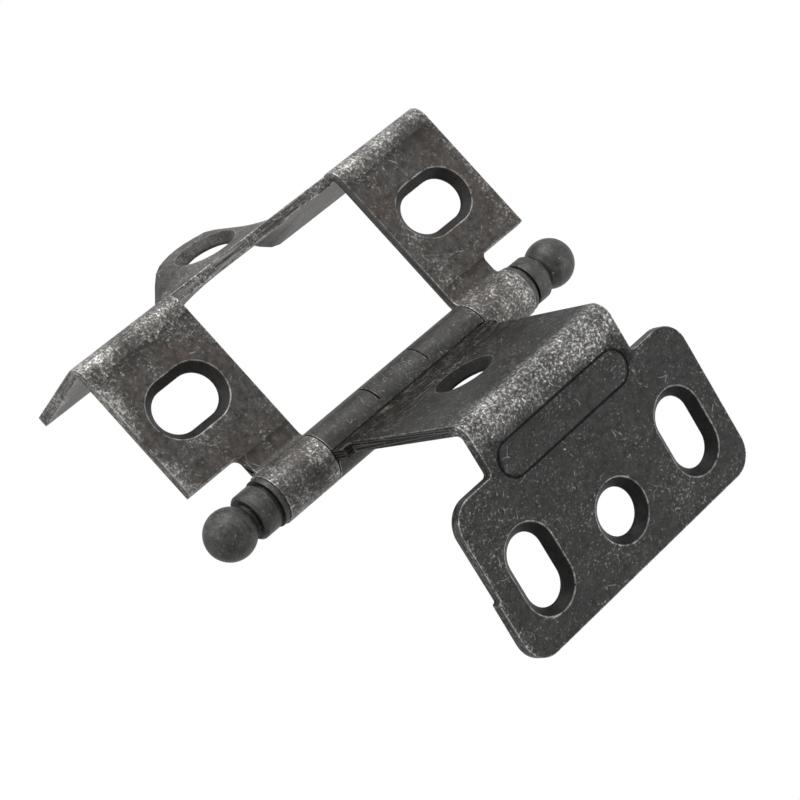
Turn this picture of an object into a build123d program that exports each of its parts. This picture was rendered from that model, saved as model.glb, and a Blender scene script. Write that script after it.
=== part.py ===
import math
import os

from build123d import *

# Full inset hinge in mm, opened 110 degrees.
# Z runs along the pin, Y from the pin into the cabinet, X from the barrel side into the frame.
# The origin is the centre of the frame leaf's two screw slots, on the face that lies on the wood.

# Sheet and barrel
sheet = 1.25
plate_rise = 0.72
barrel_r = 3.0
pin_clearance = 0.05
pin_r = barrel_r - sheet - pin_clearance
bore_r = pin_r + pin_clearance
bend_inner = 0.6
groove_r = 1.0
curl_end_angle = 14.0
door_root = 4.2
root_overlap = 0.8

# Frame leaf
leaf_length = 53.2
frame_reach = 23.3
slot_row = 13.25
slot_z = 19.5
window_width = 24.9
barrel_length = 39.7
notch_reach = 5.5
notch_bite = 0.45
notch_fillet = 0.9
flange_depth = 14.4
strip_drop = 2.3

# Ear of the flange
ear_start = 2.45
ear_bend_r = 9.3
ear_angle = 27.8
ear_hole_arc = 8.7
ear_lobe_r = 5.65
ear_blend_r = 14.0
ear_flat_half = 3.6
ear_root_half = 10.0
ear_flat_steps = 3
ear_root_steps = 6

# Door leaf
open_angle = 110.2
knuckle_gap = 0.15
door_reach = 24.3
door_bend_inner = 0.6
neck_width = 22.3
wide_width = 35.6
shoulder_depth = 6.0
door_depth = 24.15
wide_corner_r = 3.0
shoulder_r = 0.45
edge_step = 0.4
edge_step_m = 18.6
slit_z = 3.85
slit_width = 0.2
slit_depth = 0.4
slit_start = 30.0
slit_sweep = 60.0

# Screw holes, countersunk at 45 degrees down to a short straight land
sink = 0.95
sink_lift = 0.4
frame_slot_r = 2.6
frame_slot_length = 8.0
door_slot_r = 2.35
door_slot_length = 8.05
round_hole_r = 2.45
back_hole_r = 2.5
ear_hole_r = 2.75
door_hole_s = 12.65
door_slot_z = 12.0
door_slot_m = 16.5
back_hole_m = 18.0

# Stamped oval frame on the door leaf
mark_length = 20.0
mark_height = 4.2
mark_line = 0.3
mark_depth = 0.15
mark_m = 6.1

# Finials
ring_r = 2.85
ring_width = 0.7
line_r = 2.35
line_width = 0.5
collar_r = 2.68
collar_width = 2.25
collar_bevel = 0.35
cove_r = 1.9
ball_r = 2.84
ball_from_barrel = 6.0
blind_depth = 2.6
pin_fit = 0.02
pin_chamfer = 0.3

# Derived places
axis_x = plate_rise - sheet
axis_y = -slot_row
window_half = window_width / 2
barrel_half = barrel_length / 2
notch_half = barrel_half - notch_bite
fold_y = axis_y + frame_reach
ball_z = barrel_half + ball_from_barrel
spread = 2 * frame_reach
phi = math.radians(open_angle)
axis_plane = Plane(origin=(axis_x, axis_y, 0), x_dir=(0, 1, 0), z_dir=(0, 0, 1))
along = Vector(-math.sin(phi), math.cos(phi), 0)
across = Vector(-math.cos(phi), -math.sin(phi), 0)
door_plane = Plane(origin=(axis_x, axis_y, 0), x_dir=along, z_dir=(0, 0, 1))
door_top = -plate_rise
door_half = window_half - knuckle_gap
pin_axis = Axis((axis_x, axis_y, 0), (0, 0, 1))

os.makedirs("parts", exist_ok=True)


def knuckle(plane, low, root, start, end):
    """Roll a knuckle round the axis; the plate lies between y = low and y = low + sheet.

    The sheet bends from the plate up onto the barrel, and its free end stops short of the plate's low side.
    """
    high = low + sheet
    under_r = groove_r + sheet
    turn = Vector(math.sqrt((barrel_r + groove_r) ** 2 - (high + groove_r) ** 2), high + groove_r)
    under = Vector(turn.X, low)
    bore_point = turn.normalized() * bore_r
    under_mid = turn + ((under - turn) + (bore_point - turn)).normalized() * under_r
    end_angle = math.radians(curl_end_angle)
    far = 2 * barrel_r
    far_end = (far * math.cos(end_angle), -far * math.sin(end_angle))
    with BuildPart() as roll:
        with BuildSketch(plane.offset(start)) as outline:
            Circle(barrel_r)
            with Locations(((root + root_overlap) / 2, low + sheet / 2)):
                Rectangle(root + root_overlap, sheet)
            meet = Vector(math.sqrt(barrel_r**2 - high**2), high, 0)
            fillet(outline.vertices().sort_by(lambda v: (Vector(v) - meet).length)[0], groove_r)
            with BuildLine():
                ThreePointArc(under, under_mid, bore_point)
                Polyline(bore_point, (0, 0), far_end, (far, low), under)
            make_face(mode=Mode.SUBTRACT)
            Circle(bore_r, mode=Mode.SUBTRACT)
        extrude(amount=end - start)
    return roll.part


def angle_leaf(plane, root, span, side, depth, inner_r, length):
    """Fold a sheet once; side is -1 where the second leg goes to the plane's -y."""
    top = -side * plate_rise
    under = top + side * sheet
    tip = top + side * depth
    with BuildPart() as leaf:
        with BuildSketch(plane.offset(-length / 2)) as outline:
            with BuildLine():
                Polyline(
                    (root, top),
                    (span, top),
                    (span, tip),
                    (span - sheet, tip),
                    (span - sheet, under),
                    (root, under),
                    close=True,
                )
            make_face()
            for corner, radius in (((span, top), inner_r + sheet), ((span - sheet, under), inner_r)):
                place = Vector(*corner, 0)
                fillet(outline.vertices().sort_by(lambda v: (Vector(v) - place).length)[0], radius)
        extrude(amount=length)
    return leaf.part


def sunk_slot(plane, length, half_width):
    """Cutter for a slot along the plane's x with a 45 degree countersink from the plane downwards."""
    with BuildPart() as cutter:
        with BuildSketch(plane.offset(sink_lift)):
            SlotOverall(length + 2 * (sink + sink_lift), 2 * (half_width + sink + sink_lift))
        extrude(amount=-sink - sink_lift, taper=45)
        with BuildSketch(plane):
            SlotOverall(length, 2 * half_width)
        extrude(amount=2 * sheet, both=True)
    return cutter.part


def sunk_hole(plane, radius):
    """Cutter for a round hole with a 45 degree countersink from the plane downwards."""
    with BuildPart() as cutter:
        with BuildSketch(plane.offset(sink_lift)):
            Circle(radius + sink + sink_lift)
        extrude(amount=-sink - sink_lift, taper=45)
        with BuildSketch(plane):
            Circle(radius)
        extrude(amount=2 * sheet, both=True)
    return cutter.part


def ear_point(arc, share):
    """Middle of the ear's sheet after an arc length, and its angle; share is how much of the bend applies."""
    bend = math.radians(ear_angle)
    steps = 24
    out = depth = 0.0
    for step in range(steps):
        turn = min((step + 0.5) / steps * arc / ear_bend_r, bend) * share
        out += math.sin(turn) * arc / steps
        depth += math.cos(turn) * arc / steps
    turn = min(arc / ear_bend_r, bend) * share
    return frame_reach - sheet / 2 + out, plate_rise - ear_start - depth, turn


def ear_share(z):
    """The whole bend in the middle of the ear, none where the flange is flat."""
    run = (abs(z) - ear_flat_half) / (ear_root_half - ear_flat_half)
    return 0.5 * (1 + math.cos(math.pi * min(max(run, 0.0), 1.0)))


def ear_arc(z):
    """Developed length of the ear at a height: a round lobe, blended into the flange's straight end."""
    line = flange_depth - ear_start
    drop = line - ear_hole_arc
    blend_z = math.sqrt((ear_lobe_r + ear_blend_r) ** 2 - (drop + ear_blend_r) ** 2)
    meet_z = blend_z * ear_lobe_r / (ear_lobe_r + ear_blend_r)
    if abs(z) <= meet_z:
        return ear_hole_arc + math.sqrt(ear_lobe_r**2 - z**2)
    if abs(z) <= blend_z:
        return line + ear_blend_r - math.sqrt(ear_blend_r**2 - (blend_z - abs(z)) ** 2)
    return line


def ear():
    """Loft the ear through sections of its sheet: the arc of the bend, then a straight run to the edge."""
    bend_arc = ear_bend_r * math.radians(ear_angle)
    root_run = ear_root_half - ear_flat_half
    heights = [ear_flat_half * step / ear_flat_steps for step in range(1, ear_flat_steps + 1)]
    heights += [ear_flat_half + root_run * step / ear_root_steps for step in range(1, ear_root_steps + 1)]
    heights = [-z for z in reversed(heights)] + [0.0] + heights
    with BuildPart() as lobe:
        for z in heights:
            inner, outer = [], []
            for arc in (0.0, bend_arc / 2, bend_arc, ear_arc(z)):
                x, y, turn = ear_point(arc, ear_share(z))
                dx, dy = math.cos(turn) * sheet / 2, math.sin(turn) * sheet / 2
                inner.append((x - dx, y - dy))
                outer.append((x + dx, y + dy))
            with BuildSketch(axis_plane.offset(z)):
                with BuildLine():
                    Spline(*inner[:3])
                    Polyline(inner[2], inner[3], outer[3], outer[2])
                    Spline(*outer[2::-1])
                    Line(outer[0], inner[0])
                make_face()
        loft(ruled=True)
    return lobe.part


def finial():
    """Turn one ball tip, bored blind for the end of the pin."""
    ring_end = barrel_half + ring_width
    line_end = ring_end + line_width
    collar_end = line_end + collar_width
    meet = ball_z - math.sqrt(ball_r**2 - cove_r**2)
    hole_r = pin_r + pin_fit
    blind_end = barrel_half + blind_depth
    with BuildPart() as tip:
        with BuildSketch(Plane(origin=(axis_x, axis_y, 0), x_dir=(0, 1, 0), z_dir=(1, 0, 0))):
            with BuildLine():
                Polyline(
                    (0, ball_z + ball_r),
                    (0, blind_end),
                    (hole_r, blind_end),
                    (hole_r, barrel_half),
                    (ring_r, barrel_half),
                    (ring_r, ring_end),
                    (line_r, ring_end),
                    (line_r, line_end),
                    (collar_r, line_end),
                    (collar_r, collar_end - collar_bevel),
                    (collar_r - collar_bevel, collar_end),
                    (cove_r, collar_end),
                    (cove_r, meet),
                )
                ThreePointArc((cove_r, meet), (ball_r, ball_z), (0, ball_z + ball_r))
            make_face()
        revolve(axis=pin_axis)
    return tip.part


def notch_bite_cutter(side):
    """Cutter that narrows one knuckle's root at its outer end and leaves the barrel whole."""
    with BuildPart() as cutter:
        with Locations((axis_x, axis_y + notch_reach / 2, side * (notch_half + barrel_half) / 2)):
            Box(4 * sheet, notch_reach, notch_bite)
        with Locations((axis_x, axis_y, side * (notch_half + barrel_half) / 2)):
            Cylinder(barrel_r, 2 * notch_bite, mode=Mode.SUBTRACT)
    return cutter.part


# Frame leaf
with BuildPart() as frame_leaf:
    add(angle_leaf(axis_plane, notch_reach, frame_reach, -1, flange_depth, bend_inner, leaf_length))
    # window, cut past the bend
    with Locations((-sheet + strip_drop - spread / 2, axis_y + spread / 2, 0)):
        Box(spread, spread, window_width, mode=Mode.SUBTRACT)
    # knuckles
    add(knuckle(axis_plane, plate_rise - sheet, notch_reach, window_half, barrel_half))
    add(knuckle(axis_plane, plate_rise - sheet, notch_reach, -barrel_half, -window_half))
    # end notches, cut a little way into the knuckles' roots
    for side in (-1, 1):
        add(notch_bite_cutter(side), mode=Mode.SUBTRACT)
    notch_y = axis_y + notch_reach
    corners = frame_leaf.edges().filter_by(Axis.X).filter_by(
        lambda e: abs(e.center().Y - notch_y) < 0.01 and abs(abs(e.center().Z) - notch_half) < 0.01
    )
    fillet(corners, notch_fillet)
    # ear in place of the flange's middle
    with Locations((-sheet + ear_start + flange_depth / 2, fold_y - sheet / 2, 0)):
        Box(flange_depth, 2 * sheet, 2 * ear_root_half, mode=Mode.SUBTRACT)
    add(ear())
    # screw holes
    for z in (-slot_z, slot_z):
        face = Plane(origin=(-sheet, 0, z), x_dir=(0, 0, 1), z_dir=(-1, 0, 0))
        add(sunk_slot(face, frame_slot_length, frame_slot_r), mode=Mode.SUBTRACT)
    hole_x, hole_y, hole_turn = ear_point(ear_hole_arc, 1.0)
    ear_normal = Vector(-math.sin(hole_turn), math.cos(hole_turn), 0)
    ear_face = axis_plane.from_local_coords(Vector(hole_x, hole_y, 0)) + ear_normal * (sheet / 2)
    add(sunk_hole(Plane(origin=ear_face, x_dir=(0, 0, 1), z_dir=ear_normal), ear_hole_r), mode=Mode.SUBTRACT)
frame_leaf.part.label = "frame_leaf"
export_step(frame_leaf.part, "parts/frame_leaf.step")

# Door leaf
with BuildPart() as door_leaf:
    add(angle_leaf(door_plane, door_root, door_reach, 1, door_depth, door_bend_inner, wide_width))
    # narrow plate, neck and wide plate
    with BuildSketch(Plane(origin=(axis_x, axis_y, 0), x_dir=(0, 0, -1), z_dir=along)) as outline:
        with Locations((0, door_top + shoulder_depth / 2)):
            Rectangle(neck_width, shoulder_depth + 2 * sheet)
        with Locations((0, door_top + (shoulder_depth + door_depth) / 2)):
            Rectangle(wide_width, door_depth - shoulder_depth)
        # the blank's lower end stands out by a small shearing step
        with Locations((wide_width / 2, door_top + (edge_step_m + door_depth) / 2)):
            Rectangle(2 * edge_step, door_depth - edge_step_m)
        ends = outline.vertices().filter_by(
            lambda v: abs(Vector(v).X) > wide_width / 2 - edge_step
            and abs(Vector(v).Y - door_top - edge_step_m) > edge_step
        )
        fillet(ends, wide_corner_r)
        inner_ends = outline.vertices().filter_by(
            lambda v: abs(abs(Vector(v).X) - neck_width / 2) < 0.01 and Vector(v).Y > door_top + sheet
        )
        fillet(inner_ends, shoulder_r)
    extrude(amount=2 * door_reach, both=True, mode=Mode.INTERSECT)
    # knuckle
    add(knuckle(door_plane, door_top, door_root, -door_half, door_half))
    # fine cross slits
    for z in (-slit_z, slit_z):
        with BuildSketch(door_plane.offset(z - slit_width / 2)):
            with BuildLine():
                inner_arc = CenterArc((0, 0), barrel_r - slit_depth, -slit_start, -slit_sweep)
                outer_arc = CenterArc((0, 0), barrel_r + slit_depth, -slit_start, -slit_sweep)
                Line(inner_arc @ 0, outer_arc @ 0)
                Line(inner_arc @ 1, outer_arc @ 1)
            make_face()
        extrude(amount=slit_width, mode=Mode.SUBTRACT)
    # screw holes
    face = Plane(
        origin=door_plane.from_local_coords(Vector(door_hole_s, door_top, 0)), x_dir=(0, 0, 1), z_dir=-across
    )
    add(sunk_hole(face, round_hole_r), mode=Mode.SUBTRACT)
    face = Plane(
        origin=door_plane.from_local_coords(Vector(door_reach, door_top + back_hole_m, 0)),
        x_dir=(0, 0, 1),
        z_dir=along,
    )
    add(sunk_hole(face, back_hole_r), mode=Mode.SUBTRACT)
    for z in (-door_slot_z, door_slot_z):
        face = Plane(
            origin=door_plane.from_local_coords(Vector(door_reach, door_top + door_slot_m, z)),
            x_dir=across,
            z_dir=along,
        )
        add(sunk_slot(face, door_slot_length, door_slot_r), mode=Mode.SUBTRACT)
    # stamped oval line
    face = Plane(
        origin=door_plane.from_local_coords(Vector(door_reach, door_top + mark_m, 0)),
        x_dir=(0, 0, 1),
        z_dir=along,
    )
    with BuildSketch(face):
        SlotOverall(mark_length, mark_height)
        SlotOverall(mark_length - 2 * mark_line, mark_height - 2 * mark_line, mode=Mode.SUBTRACT)
    extrude(amount=-mark_depth, mode=Mode.SUBTRACT)
door_leaf.part.label = "door_leaf"
export_step(door_leaf.part, "parts/door_leaf.step")

# Hinge pin
with BuildPart() as hinge_pin:
    with Locations((axis_x, axis_y, 0)):
        Cylinder(pin_r, barrel_length + 2 * blind_depth)
    chamfer(hinge_pin.edges().filter_by(GeomType.CIRCLE), pin_chamfer)
hinge_pin.part.label = "hinge_pin"
export_step(hinge_pin.part, "parts/hinge_pin.step")

# Ball tips
with BuildPart() as upper_finial:
    add(finial())
upper_finial.part.label = "upper_finial"
export_step(upper_finial.part, "parts/upper_finial.step")

with BuildPart() as lower_finial:
    add(mirror(finial(), about=Plane.XY))
lower_finial.part.label = "lower_finial"
export_step(lower_finial.part, "parts/lower_finial.step")
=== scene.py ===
import math

import bmesh
import bpy
from mathutils import Euler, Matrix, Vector


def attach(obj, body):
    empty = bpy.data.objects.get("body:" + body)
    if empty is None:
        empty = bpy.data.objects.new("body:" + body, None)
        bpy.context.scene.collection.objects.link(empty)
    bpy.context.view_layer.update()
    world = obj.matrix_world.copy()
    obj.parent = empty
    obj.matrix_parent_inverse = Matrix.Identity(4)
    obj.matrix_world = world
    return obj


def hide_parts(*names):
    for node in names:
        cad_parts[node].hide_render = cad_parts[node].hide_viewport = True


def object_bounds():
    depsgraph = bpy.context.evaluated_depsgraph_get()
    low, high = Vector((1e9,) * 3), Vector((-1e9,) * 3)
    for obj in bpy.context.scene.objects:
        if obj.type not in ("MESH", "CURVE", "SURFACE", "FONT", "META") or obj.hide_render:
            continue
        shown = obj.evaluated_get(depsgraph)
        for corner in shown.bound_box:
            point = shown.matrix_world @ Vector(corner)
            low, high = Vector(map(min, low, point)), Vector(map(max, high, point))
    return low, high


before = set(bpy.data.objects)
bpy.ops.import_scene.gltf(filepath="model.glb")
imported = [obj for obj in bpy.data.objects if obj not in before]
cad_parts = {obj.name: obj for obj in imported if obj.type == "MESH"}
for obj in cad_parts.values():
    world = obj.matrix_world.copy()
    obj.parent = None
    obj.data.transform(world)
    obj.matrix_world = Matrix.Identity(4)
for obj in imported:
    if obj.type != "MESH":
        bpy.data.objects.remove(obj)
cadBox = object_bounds()
print("frame loaded:", ", ".join(sorted(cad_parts)))

mm = 0.001
pinAxis = Vector((-0.53, -13.25, 0)) * mm  # the pin's line runs along Z through this point
frameTurn = math.radians(90)  # turns x to run from the pin over the frame leaf's plate
doorTurn = math.radians(200.2)  # the same for the door leaf, open as in the photo


def linearColour(hexValue):
    # sRGB hex to the linear colour that shaders use
    channels = [int(hexValue[i:i + 2], 16) / 255 for i in (1, 3, 5)]
    return [c / 12.92 if c <= 0.04045 else ((c + 0.055) / 1.055) ** 2.4 for c in channels] + [1.0]


def addNode(material, kind, settings=None, links=None):
    # settings: property or input -> value, links: input -> node or output socket
    node = material.node_tree.nodes.new(kind)
    for key, value in (settings or {}).items():
        if isinstance(key, str) and hasattr(node, key):
            setattr(node, key, value)
        else:
            node.inputs[key].default_value = value
    for key, source in (links or {}).items():
        socket = source if isinstance(source, bpy.types.NodeSocket) else source.outputs[0]
        material.node_tree.links.new(socket, node.inputs[key])
    return node


# settings that many nodes share
maximum, minimum, multiply, absolute, subtract = (
    {"operation": kind} for kind in ("MAXIMUM", "MINIMUM", "MULTIPLY", "ABSOLUTE", "SUBTRACT"))
dotProduct = {"operation": "DOT_PRODUCT"}
multiplyAdd = {"operation": "MULTIPLY_ADD"}
smooth = {"interpolation_type": "SMOOTHSTEP"}
colourMix = {"data_type": "RGBA"}


def blankMaterial(name):
    material = bpy.data.materials.new(name)
    material.use_nodes = True
    material.node_tree.nodes.clear()
    return material


# Camera at the photo's viewing angle, low on the barrel side
cameraLook = {
    "location": Vector((-243.591, -27.671, -148.743)) * mm,
    "turn": [math.radians(a) for a in (133.2076, -40.5157, -118.1807)],
    "lens": 121.5, "sensor": 36, "nearest": 0.01,
}
cameraData = bpy.data.cameras.new("photoCamera")
cameraData.lens = cameraLook["lens"]
cameraData.sensor_width = cameraLook["sensor"]
cameraData.clip_start = cameraLook["nearest"]
camera = bpy.data.objects.new("photoCamera", cameraData)
camera.location = cameraLook["location"]
camera.rotation_euler = Euler(cameraLook["turn"], "XYZ")
bpy.context.scene.collection.objects.link(camera)
bpy.context.scene.camera = camera
bpy.context.scene.view_settings.view_transform = "Standard"

# Soft studio light: one large lamp over the photo's top, two weaker ones at its sides
lampLook = {
    # name: (place seen from the camera in m: right, up, towards it), width in m, watts
    "overheadSoftbox": ((-0.12, 0.40, 0.16), 0.36, 1.7),
    "leftSoftbox": ((-0.42, 0.08, 0.16), 0.30, 0.9),
    "rightSoftbox": ((0.40, 0.02, 0.12), 0.30, 0.6),
}
objectCentre = (Vector(cadBox[0]) + Vector(cadBox[1])) / 2
cameraAxes = camera.rotation_euler.to_matrix()
for lampName, (place, width, watts) in lampLook.items():
    lampData = bpy.data.lights.new(lampName, "AREA")
    lampData.size = width
    lampData.energy = watts
    lamp = bpy.data.objects.new(lampName, lampData)
    lamp.location = objectCentre + cameraAxes @ Vector(place)
    lamp.rotation_euler = (objectCentre - lamp.location).to_track_quat("-Z", "Y").to_euler()
    bpy.context.scene.collection.objects.link(lamp)

# White room: full white where seen directly, in gloss or through glass, dimmer as light
roomLook = {"white": "#ffffff", "seenStrength": 1.0, "lightStrength": 0.6}
world = bpy.data.worlds.new("whiteRoom")
world.use_nodes = True
world.node_tree.nodes.clear()
bpy.context.scene.world = world
rays = addNode(world, "ShaderNodeLightPath").outputs
seen = addNode(world, "ShaderNodeMath", maximum, {0: rays["Is Camera Ray"], 1: rays["Is Transmission Ray"]})
seen = addNode(world, "ShaderNodeMath", maximum, {0: seen, 1: rays["Is Glossy Ray"]})
strength = addNode(world, "ShaderNodeMapRange",
                   {"To Min": roomLook["lightStrength"], "To Max": roomLook["seenStrength"]}, {"Value": seen})
background = addNode(world, "ShaderNodeBackground", {"Color": linearColour(roomLook["white"])},
                     {"Strength": strength})
addNode(world, "ShaderNodeOutputWorld", {}, {"Surface": background})

# Floor: a plain pale sweep well below, clear of the low camera
floorLook = {"height": -0.4, "halfWidth": 3.0, "paint": "#f6f6f5", "roughness": 0.9}
floorShape = bmesh.new()
bmesh.ops.create_grid(floorShape, x_segments=1, y_segments=1, size=floorLook["halfWidth"])
bmesh.ops.translate(floorShape, vec=(0, 0, floorLook["height"]), verts=floorShape.verts)
floorMesh = bpy.data.meshes.new("paleFloor")
floorShape.to_mesh(floorMesh)
floorShape.free()
floor = bpy.data.objects.new("paleFloor", floorMesh)
bpy.context.scene.collection.objects.link(floor)
mattPaint = blankMaterial("mattWhiteFloorPaint")  # even and matt, so that it only carries soft shade
paint = addNode(mattPaint, "ShaderNodeBsdfPrincipled",
                {"Base Color": linearColour(floorLook["paint"]), "Roughness": floorLook["roughness"]})
addNode(mattPaint, "ShaderNodeOutputMaterial", {}, {"Surface": paint})
floorMesh.materials.append(mattPaint)
print("camera, lamps and floor placed")

# where each mark of the sheets' finish sets in and where it is full, alike on both leaves
sheetFades = {
    "barrelRub": {**smooth, "From Min": 3.5, "From Max": 2.9},  # mm from the pin
    "edgeRub": {**smooth, "From Min": 0.995, "From Max": 0.80},  # cosine of the edge's turn
    "unevenRub": {"From Min": 0.35, "From Max": 0.65},
    "specks": {"From Min": 0.50, "From Max": 0.82},
    "dotSize": {"To Min": 0.06, "To Max": 0.26},  # share of a cell
    "pickedDots": {"From Min": 0.8, "From Max": 1.0},
    "dotPatches": {"From Min": 0.46, "From Max": 0.58},
    "scratchLine": {"From Min": 0.011, "From Max": 0.002},  # share of a cell
    "scratchRuns": {"From Min": 0.56, "From Max": 0.74},
    "cutSide": {"From Min": 0.60, "From Max": 0.56},  # mm from the sheet's middle
    "endwise": {"From Min": 0.75, "From Max": 0.95},  # cosine to the pin
    "legCut": {"From Min": 0.96, "From Max": 0.99},  # cosine to the plate's normal
    "bands": {"From Min": 0.47, "From Max": 0.68},
    "mottle": {"From Min": 0.36, "From Max": 0.66},
    "thinCoat": {"From Min": 0.2, "From Max": 1.1},
    "barrelPale": {"From Min": 3.2, "From Max": 2.95},  # mm from the pin
    "offBarrel": {"From Min": 3.05, "From Max": 3.4},  # mm from the pin
    "tint": {"From Min": 0.45, "From Max": 0.7},
    "streaks": {"From Min": 0.52, "From Max": 0.75},
}


def tumbledBlackSteel(name, look):
    # pressed steel sheet, blackened and then tumbled: a dull dark coat whose high places,
    # folds and edges are rubbed through to light specks and hair scratches
    steel = blankMaterial(name)
    fades = sheetFades
    place = addNode(steel, "ShaderNodeTexCoord").outputs["Object"]
    flat = addNode(steel, "ShaderNodeMapping",
                   {"vector_type": "TEXTURE", "Location": pinAxis, "Rotation": (0, 0, look["turn"]),
                    "Scale": (mm, mm, mm)}, {"Vector": place})  # mm from the pin, x over the plate
    parts = addNode(steel, "ShaderNodeSeparateXYZ", {}, {0: flat}).outputs

    # where the tumbling has rubbed: the fold, the barrel's outside, the leaf's ends and all edges
    flatXY = addNode(steel, "ShaderNodeVectorMath", {**multiply, 1: (1, 1, 0)}, {0: flat})
    foldGap = addNode(steel, "ShaderNodeVectorMath", {"operation": "DISTANCE", 1: (*look["foldCorner"], 0)},
                      {0: flatXY}).outputs["Value"]
    foldRub = addNode(steel, "ShaderNodeMapRange",
                      {**smooth, "From Min": look["foldWidth"], "From Max": look["gapFull"],
                       "To Max": look["foldRub"]}, {"Value": foldGap})
    pinGap = addNode(steel, "ShaderNodeVectorMath", {"operation": "LENGTH"}, {0: flatXY}).outputs["Value"]
    barrelRub = addNode(steel, "ShaderNodeMapRange", {**fades["barrelRub"], "To Max": look["barrelRub"]},
                        {"Value": pinGap})
    height = addNode(steel, "ShaderNodeMath", absolute, {0: parts["Z"]})
    endRub = addNode(steel, "ShaderNodeMapRange",
                     {**smooth, "From Min": look["endFrom"], "From Max": look["endTo"],
                      "To Max": look["endRub"]}, {"Value": height})
    rounded = addNode(steel, "ShaderNodeBevel", {"samples": 6, "Radius": look["edgeWidth"] * mm})
    normal = addNode(steel, "ShaderNodeNewGeometry").outputs["Normal"]
    turned = addNode(steel, "ShaderNodeVectorMath", dotProduct, {0: rounded, 1: normal}).outputs["Value"]
    edgeRub = addNode(steel, "ShaderNodeMapRange", {**fades["edgeRub"], "To Max": look["edgeRub"]},
                      {"Value": turned})
    rub = foldRub
    for more in (barrelRub, endRub, edgeRub):
        rub = addNode(steel, "ShaderNodeMath", maximum, {0: rub, 1: more})
    patches = addNode(steel, "ShaderNodeTexNoise",
                      {"Scale": 1 / look["patchSize"], "Detail": 4.0, "Roughness": 0.62}, {"Vector": flat})
    uneven = addNode(steel, "ShaderNodeMapRange",
                     {**fades["unevenRub"], "To Min": -look["patchRub"], "To Max": look["patchRub"]},
                     {"Value": patches})
    rub = addNode(steel, "ShaderNodeMath", {"operation": "ADD"}, {0: rub, 1: uneven})
    # how much painted shade the wall of a hole or a groove carries, 0 on the rest of the sheet
    wall = addNode(steel, "ShaderNodeAttribute", {"attribute_name": "wall"}).outputs["Fac"]
    bareable = addNode(steel, "ShaderNodeMath", {**subtract, 0: 1.0}, {1: wall})

    # light specks where the coat is gone, 0.1 to 0.3 mm wide
    grains = addNode(steel, "ShaderNodeTexNoise",
                     {"Scale": 1 / look["speckSize"], "Detail": 3.0, "Roughness": 0.68, "Distortion": 0.35},
                     {"Vector": flat})
    reach = addNode(steel, "ShaderNodeMath", {**multiplyAdd, 1: look["rubReach"]}, {0: rub, 2: grains})
    specks = addNode(steel, "ShaderNodeMapRange", fades["specks"], {"Value": reach})
    specks = addNode(steel, "ShaderNodeMath", {"operation": "POWER", 1: look["speckCrispness"]}, {0: specks})
    # and single dots, up to 0.15 mm wide, in some cells
    cells = addNode(steel, "ShaderNodeTexVoronoi", {"feature": "F1", "Scale": 1 / look["dotGap"]},
                    {"Vector": flat}).outputs
    pick = addNode(steel, "ShaderNodeSeparateColor", {}, {0: cells["Color"]})
    dotSize = addNode(steel, "ShaderNodeMapRange", fades["dotSize"], {"Value": pick.outputs["Green"]})
    dots = addNode(steel, "ShaderNodeMapRange", {"From Max": look["dotMiddle"]},
                   {"Value": cells["Distance"], "From Min": dotSize})
    picked = addNode(steel, "ShaderNodeMapRange", {**fades["pickedDots"], "To Max": look["dotDepth"]},
                     {"Value": pick})
    dotPatches = addNode(steel, "ShaderNodeMapRange", fades["dotPatches"], {"Value": patches})
    for share in (picked, dotPatches):
        dots = addNode(steel, "ShaderNodeMath", multiply, {0: dots, 1: share})

    # hair scratches, about 0.08 mm wide, broken into short runs
    bent = addNode(steel, "ShaderNodeTexNoise", {"Scale": 1 / look["bendSize"], "Detail": 2.0},
                   {"Vector": flat})
    wander = addNode(steel, "ShaderNodeVectorMath", {**multiplyAdd, 1: look["scratchBend"]},
                     {0: bent.outputs["Color"], 2: flat})
    hairs = addNode(steel, "ShaderNodeTexVoronoi",
                    {"feature": "DISTANCE_TO_EDGE", "Scale": 1 / look["scratchGap"]}, {"Vector": wander})
    thin = addNode(steel, "ShaderNodeMapRange", fades["scratchLine"], {"Value": hairs.outputs["Distance"]})
    runs = addNode(steel, "ShaderNodeTexNoise", {"Scale": 1 / look["runSize"], "Detail": 1.0},
                   {"Vector": wander})
    runsKept = addNode(steel, "ShaderNodeMapRange", {**fades["scratchRuns"], "To Max": look["scratchDepth"]},
                       {"Value": runs})
    scratches = addNode(steel, "ShaderNodeMath", multiply, {0: thin, 1: runsKept})

    # bands of the shearing on the sheet's cut sides, by the depth from the sheet's middle
    depths = []
    for distance, middle in ((parts["Y"], "plateMiddle"), (parts["X"], "legMiddle"), (pinGap, "rollMiddle")):
        offset = addNode(steel, "ShaderNodeMath", {**subtract, 1: look[middle]}, {0: distance})
        depths.append(addNode(steel, "ShaderNodeMath", absolute, {0: offset}))
    plateDepth, legDepth, rollDepth = depths
    depth = addNode(steel, "ShaderNodeMath", minimum, {0: plateDepth, 1: legDepth})
    depth = addNode(steel, "ShaderNodeMath", minimum, {0: depth, 1: rollDepth})
    cutSide = addNode(steel, "ShaderNodeMapRange", fades["cutSide"], {"Value": depth})
    facing = addNode(steel, "ShaderNodeSeparateXYZ", {}, {0: normal}).outputs["Z"]
    facing = addNode(steel, "ShaderNodeMath", absolute, {0: facing})
    endwise = addNode(steel, "ShaderNodeMapRange", fades["endwise"], {"Value": facing})
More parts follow.
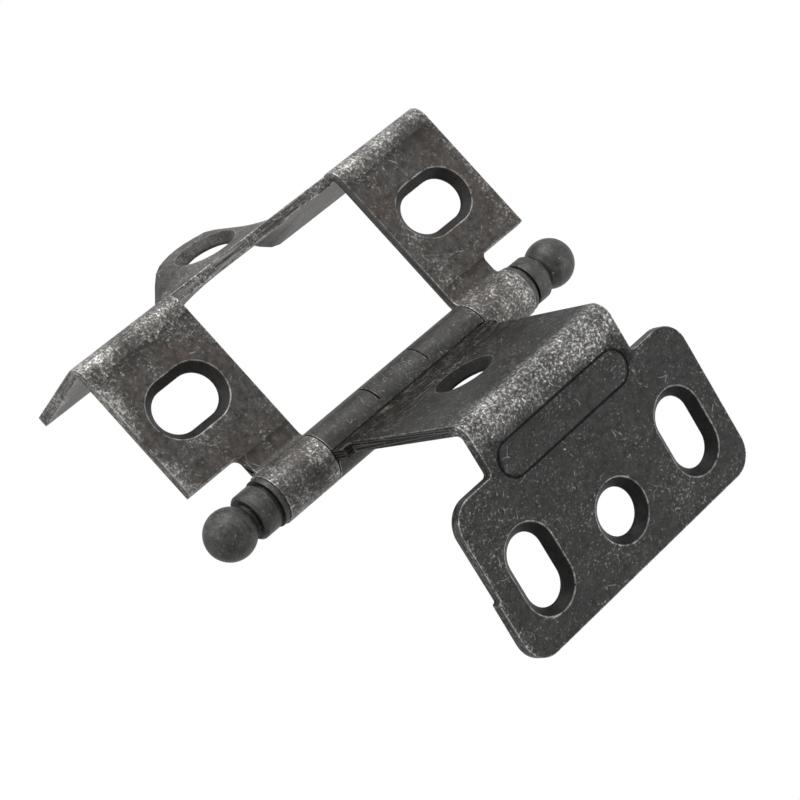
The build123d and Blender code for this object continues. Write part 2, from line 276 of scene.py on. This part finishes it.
    # the flange's cut edge faces along the plate's normal, which turns with the leaf
    ownNormal = addNode(steel, "ShaderNodeTexCoord").outputs["Normal"]
    plateNormal = (-math.sin(look["turn"]), math.cos(look["turn"]), 0)
    legFacing = addNode(steel, "ShaderNodeVectorMath", {**dotProduct, 1: plateNormal}, {0: ownNormal})
    legFacing = addNode(steel, "ShaderNodeMath", absolute, {0: legFacing.outputs["Value"]})
    legCut = addNode(steel, "ShaderNodeMapRange", fades["legCut"], {"Value": legFacing})
    onLeg = addNode(steel, "ShaderNodeMath", {"operation": "LESS_THAN", 1: look["halfSheet"]}, {0: legDepth})
    legCut = addNode(steel, "ShaderNodeMath", multiply, {0: legCut, 1: onLeg})
    endwise = addNode(steel, "ShaderNodeMath", maximum, {0: endwise, 1: legCut})
    cutSide = addNode(steel, "ShaderNodeMath", multiply, {0: cutSide, 1: endwise})
    bandSpace = addNode(steel, "ShaderNodeVectorMath", {**multiply, 1: look["bandStretch"]}, {0: flat})
    bandShift = addNode(steel, "ShaderNodeCombineXYZ", {}, {"X": depth})
    bandShift = addNode(steel, "ShaderNodeVectorMath", {**multiplyAdd, 1: look["bandsAcross"]},
                        {0: bandShift, 2: bandSpace})
    bands = addNode(steel, "ShaderNodeTexNoise", {"Scale": 1.0, "Detail": 2.0, "Roughness": 0.7},
                    {"Vector": bandShift})
    bandsKept = addNode(steel, "ShaderNodeMapRange", {**fades["bands"], "To Max": look["bandRub"]},
                        {"Value": bands})
    bandRub = addNode(steel, "ShaderNodeMath", multiply, {0: bandsKept, 1: cutSide})
    bare = specks
    for more in (dots, scratches, bandRub):
        bare = addNode(steel, "ShaderNodeMath", maximum, {0: bare, 1: more})
    bare = addNode(steel, "ShaderNodeMath", multiply, {0: bare, 1: bareable})

    # the dark coat: mottled, browner in patches, and darker in the valley beside the barrel, brown tone with
    # painted shade there
    mottle = addNode(steel, "ShaderNodeTexNoise",
                     {"Scale": 1 / look["mottleSize"], "Detail": 6.0, "Roughness": 0.78}, {"Vector": flat})
    mottleKept = addNode(steel, "ShaderNodeMapRange", fades["mottle"], {"Value": mottle})
    coat = addNode(steel, "ShaderNodeMix",
                   {**colourMix, 6: linearColour(look["coatDark"]), 7: linearColour(look["coatLight"])},
                   {0: mottleKept})
    thinned = addNode(steel, "ShaderNodeMapRange", {**fades["thinCoat"], "To Max": look["coatThinning"]},
                      {"Value": rub})
    barrelPale = addNode(steel, "ShaderNodeMapRange", {**fades["barrelPale"], "To Max": look["barrelPale"]},
                         {"Value": pinGap})
    thinned = addNode(steel, "ShaderNodeMath", maximum, {0: thinned, 1: barrelPale})
    thinned = addNode(steel, "ShaderNodeMath", multiply, {0: thinned, 1: bareable})
    tintPlace = addNode(steel, "ShaderNodeVectorMath", {**multiply, 1: look["tintScale"]}, {0: wander})
    tintPatches = addNode(steel, "ShaderNodeTexNoise", {"Scale": 1.0, "Detail": 4.0}, {"Vector": tintPlace})
    valleyGap = addNode(steel, "ShaderNodeVectorMath", {"operation": "DISTANCE", 1: (*look["valley"], 0)},
                        {0: flatXY}).outputs["Value"]
    valley = addNode(steel, "ShaderNodeMapRange",
                     {**smooth, "From Min": look["valleyWidth"], "From Max": look["gapFull"],
                      "To Max": look["valleyShadeAndTint"]}, {"Value": valleyGap})
    offBarrel = addNode(steel, "ShaderNodeMapRange", fades["offBarrel"], {"Value": pinGap})
    valley = addNode(steel, "ShaderNodeMath", multiply, {0: valley, 1: offBarrel})
    tintKept = addNode(steel, "ShaderNodeMapRange", {**fades["tint"], "To Max": look["patchTint"]},
                       {"Value": tintPatches})
    # the valley's share is painted shade with some brown tone, the patches' share is the coat's own brown
    # tone
    tint = addNode(steel, "ShaderNodeMath", maximum, {0: valley, 1: tintKept})
    # light worn streaks along the valley
    streakPlace = addNode(steel, "ShaderNodeVectorMath", {**multiply, 1: look["streakStretch"]}, {0: flat})
    streaks = addNode(steel, "ShaderNodeTexNoise", {"Scale": 1.0, "Detail": 5.0, "Roughness": 0.7},
                      {"Vector": streakPlace})
    streaksKept = addNode(steel, "ShaderNodeMapRange", {**fades["streaks"], "To Max": look["streakDepth"]},
                          {"Value": streaks})
    for share in (valley, bareable):
        streaksKept = addNode(steel, "ShaderNodeMath", multiply, {0: streaksKept, 1: share})

    # painted shade: darker on the barrel's side of each small step that the press tool left across the plate,
    # then on the cut faces and on the walls of holes and grooves
    # painted shade on faces that face along the pin (leaf ends, neck sides, knuckle ends between parts) and
    # on the flange's cut edge, over the sheared steel's own darker tone
    cutShade = addNode(steel, "ShaderNodeMath", {**multiply, 1: look["cutShade"]}, {0: endwise})
    wallShade = addNode(steel, "ShaderNodeMath", {**multiply, 1: look["wallShade"]}, {0: wall})
    shade = addNode(steel, "ShaderNodeMath", maximum, {0: cutShade, 1: wallShade})
    for across, shadeDepth, fade in look["toolStepShades"]:
        stepShade = addNode(steel, "ShaderNodeMapRange",
                         {"From Min": across - fade, "From Max": across, "To Max": shadeDepth},
                         {"Value": parts["X"]})
        before = addNode(steel, "ShaderNodeMath", {"operation": "LESS_THAN", 1: across}, {0: parts["X"]})
        stepShade = addNode(steel, "ShaderNodeMath", multiply, {0: stepShade, 1: before})
        shade = addNode(steel, "ShaderNodeMath", maximum, {0: shade, 1: stepShade})
    colour = coat
    for share, layer in ((thinned, "thinColour"), (tint, "tintAndShadeColour"), (streaksKept, "streakColour"),
                         (shade, "shadeColour"), (bare, "bareColour")):
        colour = addNode(steel, "ShaderNodeMix", {**colourMix, 7: linearColour(look[layer])},
                         {0: share, 6: colour.outputs[2]})
    valleyRough = addNode(steel, "ShaderNodeMath",
                          {**multiplyAdd, 1: look["valleyRough"], 2: look["coatRoughness"]}, {0: valley})
    gloss = addNode(steel, "ShaderNodeMapRange", {"To Max": look["bareRoughness"]},
                    {"Value": bare, "To Min": valleyRough})
    metal = addNode(steel, "ShaderNodeMapRange", {"To Min": look["coatMetal"], "To Max": look["bareMetal"]},
                    {"Value": bare})

    # relief: fine pitting, and specks and scratches a hair lower than the coat
    pits = addNode(steel, "ShaderNodeTexNoise", {"Scale": 1 / look["pitSize"], "Detail": 3.0},
                   {"Vector": flat})
    relief = addNode(steel, "ShaderNodeMath", {**multiplyAdd, 1: -look["bareSunken"]}, {0: bare, 2: pits})
    bump = addNode(steel, "ShaderNodeBump",
                   {"Strength": look["pitRelief"], "Distance": look["pitDepth"] * mm}, {"Height": relief})
    shader = addNode(steel, "ShaderNodeBsdfPrincipled", {"Specular IOR Level": look["sheen"]},
                     {"Base Color": colour.outputs[2], "Roughness": gloss, "Metallic": metal, "Normal": bump})
    addNode(steel, "ShaderNodeOutputMaterial", {}, {"Surface": shader})
    return steel


# lengths in mm, shares from 0 to 1
sheetLook = {
    "edgeWidth": 0.45, "edgeRub": 0.8, "foldRub": 0.95, "gapFull": 0.8, "patchSize": 5.5,
    "speckSize": 0.29, "speckCrispness": 2.6, "dotGap": 0.5, "dotMiddle": 0.05,
    "scratchGap": 5.0, "scratchDepth": 0.6, "scratchBend": (3.5, 3.5, 3.5), "bendSize": 4.0, "runSize": 1.1,
    "halfSheet": 0.6, "rollMiddle": 2.375, "bandRub": 0.4, "bandStretch": (0.16, 0.16, 0.16),
    "bandsAcross": (6.0, 0, 0), "barrelPale": 0.0, "tintScale": (0.2, 0.2, 0.2), "valleyWidth": 4.2,
    "valleyRough": 0.0, "streakDepth": 0.4, "streakStretch": (1.6, 1.6, 0.5), "wallShade": 0.55,
    "coatDark": "#222120", "coatLight": "#504d4a", "thinColour": "#6d6c69", "tintAndShadeColour": "#43362e",
    "streakColour": "#6f695e", "shadeColour": "#040404", "bareColour": "#b4b3b0",
    "coatRoughness": 0.5, "bareRoughness": 0.38, "coatMetal": 0.35, "bareMetal": 0.85, "sheen": 0.3,
    "mottleSize": 0.9, "bareSunken": 0.6, "pitRelief": 0.6, "pitSize": 0.3, "pitDepth": 0.03,
}
frameLook = {
    **sheetLook, "turn": frameTurn, "foldCorner": (23.3, 0.72), "foldWidth": 3.7, "barrelRub": 0.84,
    "endFrom": 23.8, "endTo": 26.8, "endRub": 0.85, "patchRub": 0.55, "rubReach": 0.165, "dotDepth": 0.85,
    "plateMiddle": 0.095, "legMiddle": 22.675, "coatThinning": 0.2,
    "valley": (4.2, 1.2), "valleyShadeAndTint": 0.2, "patchTint": 0.4, "wallShade": 0.75, "cutShade": 0.45,
    # painted shade on the barrel's side of each press step: (place across the plate in mm, share, fade in mm)
    "toolStepShades": ((20.7, 0.55, 2.2), (5.2, 0.6, 1.0)),
}
doorLook = {
    **sheetLook, "turn": doorTurn, "foldCorner": (24.3, 0.2), "foldWidth": 4.2, "barrelRub": 0.0,
    "endFrom": 17.0, "endTo": 18.0, "endRub": 0.4, "patchRub": 0.3, "rubReach": 0.16, "dotDepth": 0.45,
    "scratchDepth": 0.4, "bandRub": 0.25, "plateMiddle": -0.095, "legMiddle": 23.675, "coatThinning": 0.26,
    # the door's valley: near black over 12 mm beside the barrel, painted shade with a little brown tone
    "barrelPale": 0.25, "valley": (5.0, -1.0), "valleyWidth": 12.0, "valleyShadeAndTint": 0.95, "valleyRough": 0.35,
    "patchTint": 0.5, "tintScale": (0.9, 0.9, 0.16), "streakDepth": 0.9, "cutShade": 0.6,
    "coatDark": "#121212", "coatLight": "#343332", "tintAndShadeColour": "#100e0b", "sheen": 0.22,
    # painted shade on the barrel's side of the press step
    "toolStepShades": ((22.2, 0.4, 2.0),),
}
# the sharp rims are rubbed nearly bare: a thin light line round plates and holes
rimLook = {
    "coatDark": "#242323", "coatLight": "#9a9996", "rubReach": 0.26, "coatMetal": 0.7, "coatRoughness": 0.42,
}
frameSteel = tumbledBlackSteel("tumbledBlackSteelFrame", frameLook)
doorSteel = tumbledBlackSteel("tumbledBlackSteelDoor", doorLook)
frameRimSteel = tumbledBlackSteel("rubbedRimSteelFrame", {**frameLook, **rimLook})
doorRimSteel = tumbledBlackSteel("rubbedRimSteelDoor", {**doorLook, **rimLook})


def turnedBlackSteel(name, look):
    # bar turned on a lathe and blackened: fine rings from the tool and few light specks
    steel = blankMaterial(name)
    place = addNode(steel, "ShaderNodeTexCoord").outputs["Object"]
    turned = addNode(steel, "ShaderNodeMapping",
                     {"vector_type": "TEXTURE", "Location": pinAxis, "Scale": (mm, mm, mm)},
                     {"Vector": place})  # mm from the pin's middle
    ringSpace = addNode(steel, "ShaderNodeVectorMath",
                        {**multiply, 1: (look["ringDrift"], look["ringDrift"], 1 / look["ringPitch"])},
                        {0: turned})
    rings = addNode(steel, "ShaderNodeTexNoise", {"Scale": 1.0, "Detail": 3.0, "Roughness": 0.6},
                    {"Vector": ringSpace})
    grains = addNode(steel, "ShaderNodeTexNoise",
                     {"Scale": 1 / look["speckSize"], "Detail": 4.0, "Roughness": 0.7, "Distortion": 0.5},
                     {"Vector": turned})
    rounded = addNode(steel, "ShaderNodeBevel", {"samples": 6, "Radius": look["edgeWidth"] * mm})
    normal = addNode(steel, "ShaderNodeNewGeometry").outputs["Normal"]
    bent = addNode(steel, "ShaderNodeVectorMath", dotProduct, {0: rounded, 1: normal}).outputs["Value"]
    edgeRub = addNode(steel, "ShaderNodeMapRange", {**look["edgeFade"], "To Max": look["edgeRub"]},
                      {"Value": bent})
    reach = addNode(steel, "ShaderNodeMath", {**multiplyAdd, 1: look["rubReach"]}, {0: edgeRub, 2: grains})
    specks = addNode(steel, "ShaderNodeMapRange", look["speckFade"], {"Value": reach})
    mottle = addNode(steel, "ShaderNodeTexNoise",
                     {"Scale": 1 / look["mottleSize"], "Detail": 6.0, "Roughness": 0.8}, {"Vector": turned})
    mixed = addNode(steel, "ShaderNodeMix", {0: look["ringShare"]}, {2: mottle, 3: rings})
    mixedKept = addNode(steel, "ShaderNodeMapRange", look["mottleFade"], {"Value": mixed})
    coat = addNode(steel, "ShaderNodeMix",
                   {**colourMix, 6: linearColour(look["coatDark"]), 7: linearColour(look["coatLight"])},
                   {0: mixedKept})
    # painted shade, blacker in the narrow groove behind the end ring and where the ball meets its neck
    heightUp = addNode(steel, "ShaderNodeSeparateXYZ", {}, {0: turned}).outputs["Z"]
    heightUp = addNode(steel, "ShaderNodeMath", absolute, {0: heightUp})
    groove, neck = (
        addNode(steel, "ShaderNodeMath", {"operation": "COMPARE", 1: middle, 2: half}, {0: heightUp})
        for middle, half in (look["groove"], look["neck"]))
    dark = addNode(steel, "ShaderNodeMath", maximum, {0: groove, 1: neck})
    paintedRecessShade = addNode(steel, "ShaderNodeMath", {**multiply, 1: look["grooveShade"]}, {0: dark})
    colour = coat
    for share, layer in ((paintedRecessShade, "shadeColour"), (specks, "bareColour")):
        colour = addNode(steel, "ShaderNodeMix", {**colourMix, 7: linearColour(look[layer])},
                         {0: share, 6: colour.outputs[2]})
    bump = addNode(steel, "ShaderNodeBump",
                   {"Strength": look["ringRelief"], "Distance": look["ringDepth"] * mm}, {"Height": rings})
    shader = addNode(steel, "ShaderNodeBsdfPrincipled",
                     {"Roughness": look["roughness"], "Metallic": look["metal"]},
                     {"Base Color": colour.outputs[2], "Normal": bump})
    addNode(steel, "ShaderNodeOutputMaterial", {}, {"Surface": shader})
    return steel


# lengths in mm; groove and neck: (height from the hinge's middle, half the width)
turnedLook = {
    "ringDrift": 0.5, "ringDepth": 0.02, "ringRelief": 0.5, "edgeWidth": 0.25, "rubReach": 0.13,
    "mottleSize": 0.7,
    "edgeFade": {"From Min": 0.99, "From Max": 0.8}, "mottleFade": {"From Min": 0.38, "From Max": 0.64},
    "speckFade": {**smooth, "From Min": 0.59, "From Max": 0.76, "To Max": 0.8},
    "groove": (20.8, 0.26), "neck": (23.55, 0.33), "shadeColour": "#040404",
}
finialSteel = turnedBlackSteel("turnedBlackSteelFinial", {
    **turnedLook, "ringPitch": 0.16, "ringShare": 0.35, "speckSize": 0.33, "edgeRub": 0.5,
    "coatDark": "#1f1f1e", "coatLight": "#4c4b49", "bareColour": "#9c9b98", "grooveShade": 0.75,
    "roughness": 0.5, "metal": 0.4,
})
pinSteel = turnedBlackSteel("brightDrawnSteelPin", {  # drawn wire, left bare inside the barrel
    **turnedLook, "ringPitch": 0.4, "ringShare": 0.7, "speckSize": 0.6, "edgeRub": 0.3,
    "coatDark": "#6f6e6c", "coatLight": "#868583", "bareColour": "#b0afac", "grooveShade": 0.0,
    "roughness": 0.35, "metal": 0.95,
})
print("materials made")


def leafPlace(point, turn):
    # a point in a leaf's own mm: x over the plate from the pin, y through it, z along the pin
    return Euler((0, 0, -turn)).to_matrix() @ (point - pinAxis) / mm


def inGroove(spot, grooves):
    # grooves: (low corner, high corner, farthest from the pin), all in the leaf's own mm
    for low, high, farthest in grooves:
        if all(a <= s <= b for a, s, b in zip(low, spot, high)) and math.hypot(spot[0], spot[1]) < farthest:
            return True
    return False


def holeShare(spot, facing, holes, look):
    # holes: (centre on the countersunk face, direction into the sheet, reach of the countersink,
    # how dark the painted shade on the wall is)
    for centre, inwards, reach, darkness in holes:
        offset = spot - Vector(centre)
        deep = offset.dot(Vector(inwards))
        beside = (offset - deep * Vector(inwards)).length
        onWall = look["rimDepth"] < deep < look["wallDepth"] and beside < reach
        # a soft hole has no bright rim either
        onSoftRim = darkness < 1 and deep < look["softDepth"] and beside < reach + look["softReach"]
        if (onWall or onSoftRim) and abs(facing.dot(Vector(inwards))) < look["wallFacing"]:
            return darkness
    return None


def standOut(sheet, turn, step):
    # the blank's lower end stands out by a small step of the shears, as far as the rounded corner
    radius, arcFrom, slack = step["cornerRadius"], step["farEdge"] - step["cornerRadius"], step["slack"]
    middle = step["edge"] - step["out"] + radius
    places = [*step["slope"], *(arcFrom + radius * math.sin(math.radians(a)) for a in step["arcAngles"])]
    for y in places:
        pair = []
        for edge in sheet.edges[:]:
            first, last = (leafPlace(v.co, turn) for v in edge.verts)
            onEdge = all(abs(end.z - step["edge"]) < slack for end in (first, last))
            if onEdge and min(first.y, last.y) < y - slack and max(first.y, last.y) > y + slack:
                share = (y - first.y) / (last.y - first.y)
                pair.append(bmesh.utils.edge_split(edge, edge.verts[0], share)[1])
        bmesh.ops.connect_verts(sheet, verts=pair)
    for v in sheet.verts:
        spot = leafPlace(v.co, turn)
        if abs(spot.z - step["edge"]) < slack and spot.y > step["slope"][0] + slack:
            rise = max(spot.y - arcFrom, 0)
            v.co.z = (middle - math.sqrt(radius ** 2 - rise ** 2)) * mm


def brokenEdgeSheet(name, node, turn, marks, look, steel, rimSteel):
    # a merged copy of the CAD node: its sheared edges broken, its holes and grooves marked as walls
    sheet = bmesh.new()
    sheet.from_mesh(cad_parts[node].data)
    bmesh.ops.remove_doubles(sheet, verts=sheet.verts, dist=look["mergeGap"] * mm)
    bmesh.ops.dissolve_limit(sheet, angle_limit=math.radians(look["flatAngle"]), verts=sheet.verts,
                             edges=sheet.edges)
    if marks["step"]:
        standOut(sheet, turn, marks["step"])
    sharp = math.radians(look["sharpAngle"])
    keep = [e for e in sheet.edges if len(e.link_faces) == 2 and e.calc_face_angle() > sharp
            and not all(inGroove(leafPlace(v.co, turn), marks["grooveEdges"]) for v in e.verts)]
    rims = bmesh.ops.bevel(sheet, geom=keep, affect="EDGES", offset=look["edgeBreak"] * mm,
                           offset_type="OFFSET", segments=look["segments"], profile=0.5, material=-1,
                           clamp_overlap=False)
    for face in rims["faces"]:
        face.material_index = 1
    bmesh.ops.triangulate(sheet, faces=[f for f in sheet.faces if len(f.verts) > 4])
    wall = sheet.faces.layers.float.new("wall")
    straight = Euler((0, 0, -turn)).to_matrix()
    for face in sheet.faces:
        spot = leafPlace(face.calc_center_median(), turn)
        darkness = holeShare(spot, straight @ face.normal, marks["holes"], look)
        # the walls of holes and grooves carry painted shade
        if darkness is not None:
            face[wall] = darkness
            face.material_index = 0
        elif inGroove(spot, marks["grooves"]):
            face[wall] = look["grooveWallShade"]
    mesh = bpy.data.meshes.new(name)
    sheet.to_mesh(mesh)
    sheet.free()
    mesh.shade_smooth()
    mesh.set_sharp_from_angle(angle=math.radians(look["shadeAngle"]))
    piece = bpy.data.objects.new(name, mesh)
    bpy.context.scene.collection.objects.link(piece)
    mesh.materials.append(steel)
    mesh.materials.append(rimSteel)
    # flat faces stay flat beside their rims
    evenShade = piece.modifiers.new("evenShade", "WEIGHTED_NORMAL")
    evenShade.keep_sharp = True
    return piece


# lengths in mm, angles in degrees, wallFacing a cosine to the hole's direction; the walls of grooves get a
# share of painted shade
leafEdges = {
    "mergeGap": 0.002, "flatAngle": 0.6, "sharpAngle": 34, "edgeBreak": 0.09, "segments": 2,
    "shadeAngle": 33, "rimDepth": 0.12, "wallDepth": 1.3, "softDepth": 1.5, "softReach": 0.4,
    "wallFacing": 0.95, "grooveWallShade": 0.85,
}
frameMarks = {
    "holes": (((13.25, 0.72, 19.5), (0, -1, 0), 5.1, 1.0), ((13.25, 0.72, -19.5), (0, -1, 0), 5.1, 1.0),
              ((26.25, -9.48, 0), (-0.8846, -0.4664, 0), 3.85, 0.4)),
    "grooves": (), "grooveEdges": (), "step": None,
}
doorMarks = {
    "holes": (((12.65, -0.72, 0), (0, 1, 0), 3.5, 0.9), ((24.3, 17.28, 0), (-1, 0, 0), 3.55, 1.0),
              ((24.3, 15.78, 12), (-1, 0, 0), 5.1, 1.0), ((24.3, 15.78, -12), (-1, 0, 0), 5.1, 1.0)),
    # edge, farEdge: the plate's straight edges; slope: where the step starts and is full
    "step": {"edge": -17.8, "out": 0.4, "slope": (15.4, 15.63), "farEdge": 23.43, "cornerRadius": 3.0,
             "arcAngles": (0, 7.5, 15, 22.5), "slack": 0.01},
    # the stamped oval line, then the two cross slits of the barrel
    "grooves": (((24.1, 3.1, -10.3), (24.29, 7.7, 10.3), 99),
                ((-3, -3, 3.7), (3, 3, 4.0), 2.97), ((-3, -3, -4.0), (3, 3, -3.7), 2.97)),
    "grooveEdges": (((24.1, 3.1, -10.3), (24.35, 7.7, 10.3), 99),
                    ((-3.1, -3.1, 3.7), (3.1, 3.1, 4.0), 3.1), ((-3.1, -3.1, -4.0), (3.1, 3.1, -3.7), 3.1)),
}
framePlate = brokenEdgeSheet("framePlate", "frame_leaf", frameTurn, frameMarks, leafEdges, frameSteel,
                             frameRimSteel)
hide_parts("frame_leaf")
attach(framePlate, "frame_side")
doorPlate = brokenEdgeSheet("doorPlate", "door_leaf", doorTurn, doorMarks, leafEdges, doorSteel, doorRimSteel)
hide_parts("door_leaf")
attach(doorPlate, "door_side")
print("leaves made:", len(framePlate.data.polygons), len(doorPlate.data.polygons), "faces")

# Ball finials: a profile from tip to base, spun round the pin
finialLook = {
    "barrelHalf": 19.85, "ballCentre": 25.85, "ballRadius": 2.84, "arcSteps": 26, "spinSteps": 96,
    # (radius, height over the barrel's end) from the cove down to the pin's bore
    "profile": ((1.9, 3.45), (2.33, 3.45), (2.68, 3.1), (2.68, 1.2), (2.35, 1.2), (2.35, 0.7), (2.85, 0.7),
                (2.85, 0.0), (1.72, 0.0), (1.72, 2.6), (0.0, 2.6)),
    "mergeGap": 0.001, "rimAngle": 25, "edgeBreak": 0.07, "segments": 2, "shadeAngle": 38,
}


def ballFinial(name, flip, look):
    turned = bmesh.new()
    tip = turned.verts.new((0, 0, (look["ballCentre"] + look["ballRadius"]) * mm))
    sweep = math.pi - math.asin(look["profile"][0][0] / look["ballRadius"])
    arc = bmesh.ops.spin(turned, geom=[tip], cent=(0, 0, look["ballCentre"] * mm), axis=(-1, 0, 0),
                         dvec=(0, 0, 0), angle=sweep, steps=look["arcSteps"])
    last = [v for v in arc["geom_last"] if isinstance(v, bmesh.types.BMVert)][0]
    for radius, height in look["profile"]:
        corner = turned.verts.new((0, radius * mm, (look["barrelHalf"] + height) * mm))
        turned.edges.new((last, corner))
        last = corner
    bmesh.ops.spin(turned, geom=turned.verts[:] + turned.edges[:], cent=(0, 0, 0), axis=(0, 0, 1),
                   dvec=(0, 0, 0), angle=math.tau, steps=look["spinSteps"], use_merge=True)
    bmesh.ops.remove_doubles(turned, verts=turned.verts, dist=look["mergeGap"] * mm)
    bmesh.ops.translate(turned, vec=pinAxis, verts=turned.verts)
    if flip:
        bmesh.ops.scale(turned, vec=(1, 1, -1), verts=turned.verts)
    bmesh.ops.recalc_face_normals(turned, faces=turned.faces)
    rims = [e for e in turned.edges if e.calc_face_angle(0) > math.radians(look["rimAngle"])]
    bmesh.ops.bevel(turned, geom=rims, affect="EDGES", offset=look["edgeBreak"] * mm, offset_type="OFFSET",
                    segments=look["segments"], profile=0.5, material=-1, clamp_overlap=True)
    mesh = bpy.data.meshes.new(name)
    turned.to_mesh(mesh)
    turned.free()
    mesh.shade_smooth()
    mesh.set_sharp_from_angle(angle=math.radians(look["shadeAngle"]))
    piece = bpy.data.objects.new(name, mesh)
    bpy.context.scene.collection.objects.link(piece)
    mesh.materials.append(finialSteel)
    return piece


for pieceName, node, flip in (("upperBallFinial", "upper_finial", False),
                              ("lowerBallFinial", "lower_finial", True)):
    ball = ballFinial(pieceName, flip, finialLook)
    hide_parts(node)
    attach(ball, "frame_side")
print("finials turned")

# The pin stays the CAD node, with its own steel
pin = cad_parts["hinge_pin"]
pin.data.materials.clear()
pin.data.materials.append(pinSteel)
